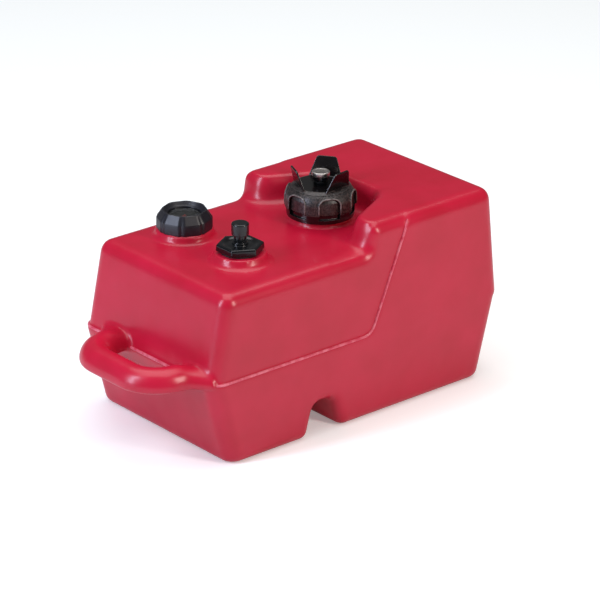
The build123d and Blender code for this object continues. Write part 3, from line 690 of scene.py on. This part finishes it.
# The outside is drawn out to eight flat lobes, with a shallow valley at each corner that deepens
# downwards. The rim and the bore stay round.
lobe = 360 / 8
rim_radius = 21.5 * mm
bore_radius = 24.4 * mm
valley_height = 8 * mm
valley_depth = 0.9 * mm
for vertex in gauge_ring.data.vertices:
    out = Vector((vertex.co.x - gauge_x, vertex.co.y - gauge_y))
    in_bore = out.length < bore_radius and vertex.co.z < seat + 0.1 * mm
    if out.length < rim_radius or in_bore:
        continue
    turn = degrees(atan2(out.y, out.x)) % lobe - lobe / 2
    depth = min(1.0, (top - vertex.co.z) / valley_height)
    grown = min(1 / cos(radians(turn)), 1.04)
    valley = max(0.0, (abs(turn) - 13.5) / 9) ** 2 * valley_depth * depth ** 4
    out = out * grown - out.normalized() * valley
    vertex.co.x = gauge_x + out.x
    vertex.co.y = gauge_y + out.y
select_only(gauge_ring)
bpy.ops.object.shade_smooth_by_angle(angle=radians(24))
gauge_ring.data.materials.append(satin_black)
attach(gauge_ring, "tank")
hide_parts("gauge_ring")
dress(satin_black, "gauge_housing")

# ---------------------------------------------------------------- gauge lens, dial and pointer
# Clear acrylic window, moulded and polished, seated in the ring. Under it lie the dial, drawn near black
# and left without figures, and the pointer, painted red.
clear, clear_tree, clear_shader, place = finish_of("clear_acrylic", {
    "Roughness": 0.03, "IOR": 1.49, "Transmission Weight": 1.0,
})
tint = add(clear_tree, "ShaderNodeTexNoise", {"Vector": place, "Scale": 1 / 0.01, "Detail": 1.0})
water = add(clear_tree, "ShaderNodeValToRGB", {"Fac": tint.outputs["Fac"]})
water.color_ramp.elements[0].color = linear("#DDE4E6")
water.color_ramp.elements[1].color = linear("#EEF2F3")
clear_tree.links.new(water.outputs["Color"], clear_shader.inputs["Base Color"])
dress(clear, "gauge_lens")
dial, dial_tree, dial_shader, place = finish_of("printed_dial", {"Roughness": 0.55})
print_grain = add(dial_tree, "ShaderNodeTexNoise", {"Vector": place, "Scale": 1 / 0.001, "Detail": 2.0})
dial_near_blacks = add(dial_tree, "ShaderNodeValToRGB", {"Fac": print_grain.outputs["Fac"]})
dial_near_blacks.color_ramp.elements[0].color = linear("#08080A")
dial_near_blacks.color_ramp.elements[1].color = linear("#111113")
dial_tree.links.new(dial_near_blacks.outputs["Color"], dial_shader.inputs["Base Color"])
dress(dial, "gauge_dial")
painted, painted_tree, painted_shader, place = finish_of("red_paint", {"Roughness": 0.35})
coat = add(painted_tree, "ShaderNodeTexNoise", {"Vector": place, "Scale": 1 / 0.002, "Detail": 2.0})
reds = add(painted_tree, "ShaderNodeValToRGB", {"Fac": coat.outputs["Fac"]})
reds.color_ramp.elements[0].color = linear("#A82814")
reds.color_ramp.elements[1].color = linear("#C8361E")
painted_tree.links.new(reds.outputs["Color"], painted_shader.inputs["Base Color"])
dress(painted, "gauge_pointer")

# ---------------------------------------------------------------- float gear
# Foam float on two steel rods in a nylon foot, inside the tank. It slides along a twisted brass strip
# and turns it, and the strip turns the pointer.

# Undyed nylon, milky and half dull.
inner, inner_tree, inner_shader, place = finish_of("natural_nylon", {"IOR": 1.53, "Roughness": 0.45})
milky = add(inner_tree, "ShaderNodeTexNoise", {"Vector": place, "Scale": 1 / 0.008, "Detail": 2.0})
creams = add(inner_tree, "ShaderNodeValToRGB", {"Fac": milky.outputs["Fac"]})
creams.color_ramp.elements[0].color = linear("#CFCBBD")
creams.color_ramp.elements[1].color = linear("#E2DFD4")
inner_tree.links.new(creams.outputs["Color"], inner_shader.inputs["Base Color"])
dress(inner, "guide_foot", "pickup_tube", "strainer_collar", "spring_seat")

# Stainless wire, with the fine lines that drawing leaves along it.
wire_steel, wire_tree, wire_shader, place = finish_of("drawn_stainless", {"Metallic": 1.0})
draw_lines = add(wire_tree, "ShaderNodeMapping", {"Vector": place, "Scale": (1.0, 1.0, 0.05)})
lines = add(wire_tree, "ShaderNodeTexNoise", {
    "Vector": draw_lines.outputs["Vector"], "Scale": 1 / 0.0004, "Detail": 2.0,
})
greys_of_wire = add(wire_tree, "ShaderNodeValToRGB", {"Fac": lines.outputs["Fac"]})
greys_of_wire.color_ramp.elements[0].color = linear("#A5A4A2")
greys_of_wire.color_ramp.elements[1].color = linear("#CFCECC")
wire_tree.links.new(greys_of_wire.outputs["Color"], wire_shader.inputs["Base Color"])
drag = add(wire_tree, "ShaderNodeMapRange", {"Value": lines.outputs["Fac"], "To Min": 0.28, "To Max": 0.42})
wire_tree.links.new(drag.outputs["Result"], wire_shader.inputs["Roughness"])
dress(wire_steel, "guide_rods", "check_ball")

# Brass strip from the rolls, duller and darker where it has tarnished.
brass, brass_tree, brass_shader, place = finish_of("rolled_brass", {"Metallic": 1.0})
tarnish = add(brass_tree, "ShaderNodeTexNoise", {"Vector": place, "Scale": 1 / 0.006, "Detail": 4.0})
golds = add(brass_tree, "ShaderNodeValToRGB", {"Fac": tarnish.outputs["Fac"]})
golds.color_ramp.elements[0].color = linear("#A98038")
golds.color_ramp.elements[1].color = linear("#D2AC5A")
brass_tree.links.new(golds.outputs["Color"], brass_shader.inputs["Base Color"])
worn = add(brass_tree, "ShaderNodeMapRange", {"Value": tarnish.outputs["Fac"], "To Min": 0.4, "To Max": 0.29})
brass_tree.links.new(worn.outputs["Result"], brass_shader.inputs["Roughness"])
dress(brass, "twisted_strip")

# Cut closed cell foam, dull, with its cells drawn at 0.8 mm.
foam, foam_tree, foam_shader, place = finish_of("closed_cell_foam", {"Roughness": 0.85})
cells = add(foam_tree, "ShaderNodeTexVoronoi", {"Vector": place, "Scale": 1 / 0.0008})
skins = add(foam_tree, "ShaderNodeValToRGB", {"Fac": cells.outputs["Distance"]})
skins.color_ramp.elements[0].color = linear("#38363A")
skins.color_ramp.elements[1].color = linear("#1C1B1D")
foam_tree.links.new(skins.outputs["Color"], foam_shader.inputs["Base Color"])
cell_bump = add(foam_tree, "ShaderNodeBump", {
    "Height": cells.outputs["Distance"], "Distance": 0.0003, "Strength": 0.6,
})
foam_tree.links.new(cell_bump.outputs["Normal"], foam_shader.inputs["Normal"])
dress(foam, "gauge_float")

# ---------------------------------------------------------------- fuel pickup
# Hexagon fitting with its nipple, injection moulded in one piece in glossy black acetal, with softened
# edges, and screwed into the low deck over a flat gasket.
pickup = copy_of("pickup_fitting", "pickup_body")
round_over(pickup, grain=0.34 * mm, passes=6, triangles=110000)
hexagon_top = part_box("pickup_gasket")[1][2] + 7.6 * mm
hexagon_edge = hexagon_top - 5.2 * mm
nipple_room = 12 * mm
centre = [(a + b) / 2 for a, b in zip(*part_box("dust_cap"))]
select_where(pickup, lambda at: (
    hexagon_edge < at.z < hexagon_top and hypot(at.x - centre[0], at.y - centre[1]) > nipple_room
))
bpy.ops.mesh.vertices_smooth(factor=0.5, repeat=30)
bpy.ops.object.mode_set(mode="OBJECT")
pickup.data.materials.append(gloss)
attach(pickup, "tank")
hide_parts("pickup_body")

# Coiled steel spring under the check ball. It shortens as a connector's pin pushes the ball down.
check_spring = copy_of("check_valve_spring", "check_spring")
select_only(check_spring)
bpy.ops.object.shade_smooth_by_angle(angle=radians(50))
check_spring.data.materials.append(wire_steel)
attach(check_spring, "tank")
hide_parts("check_spring")
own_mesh(check_spring)

# Woven nylon gauze of the strainer at the foot of the pickup tube. Its threads are drawn 0.7 mm apart,
# coarser than they are, so that they show.
gauze, gauze_tree, gauze_shader, place = finish_of("woven_nylon_gauze", {"Roughness": 0.5})
threads = add(gauze_tree, "ShaderNodeTexVoronoi", {"Vector": place, "Scale": 1 / 0.0007, "Randomness": 0.1})
weave = add(gauze_tree, "ShaderNodeValToRGB", {"Fac": threads.outputs["Distance"]})
weave.color_ramp.elements[0].color = linear("#6E6B62")
weave.color_ramp.elements[1].color = linear("#E4E1D6")
gauze_tree.links.new(weave.outputs["Color"], gauze_shader.inputs["Base Color"])
weave_bump = add(gauze_tree, "ShaderNodeBump", {
    "Height": threads.outputs["Distance"], "Distance": 0.0003, "Strength": 0.8,
})
gauze_tree.links.new(weave_bump.outputs["Normal"], gauze_shader.inputs["Normal"])
dress(gauze, "strainer_mesh")

# ---------------------------------------------------------------- dust cap
# Soft black vinyl cap, pushed over the nipple's head. It is dip moulded, which leaves a wet gloss and a
# rolled ring round it.
dust_low, dust_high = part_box("dust_cap")
dust_x = (dust_low[0] + dust_high[0]) / 2
dust_y = (dust_low[1] + dust_high[1]) / 2
dust_radius = (dust_high[0] - dust_low[0]) / 2
dust_cap = copy_of("dust_cover", "dust_cap")
bpy.ops.mesh.primitive_torus_add(
    major_radius=dust_radius - 0.62 * mm, minor_radius=0.6 * mm, major_segments=64, minor_segments=12,
    location=(dust_x, dust_y, dust_high[2] - 5.2 * mm),
)
rolled_ring = bpy.context.object
bpy.ops.object.transform_apply(location=True, rotation=True, scale=True)
select_only(dust_cap, rolled_ring)
bpy.ops.object.join()
round_over(dust_cap, grain=0.3 * mm, passes=4, triangles=70000)
vinyl, vinyl_tree, vinyl_shader, place = finish_of("soft_vinyl_black", {"IOR": 1.53})
wet = add(vinyl_tree, "ShaderNodeTexNoise", {"Vector": place, "Scale": 1 / 0.004, "Detail": 2.0})
darks = add(vinyl_tree, "ShaderNodeValToRGB", {"Fac": wet.outputs["Fac"]})
darks.color_ramp.elements[0].color = linear("#0B0C0E")
darks.color_ramp.elements[1].color = linear("#15171A")
vinyl_tree.links.new(darks.outputs["Color"], vinyl_shader.inputs["Base Color"])
glaze = add(vinyl_tree, "ShaderNodeMapRange", {"Value": wet.outputs["Fac"], "To Min": 0.18, "To Max": 0.26})
vinyl_tree.links.new(glaze.outputs["Result"], vinyl_shader.inputs["Roughness"])
dust_cap.data.materials.append(vinyl)
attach(dust_cap, "dust_cap")
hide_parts("dust_cap")
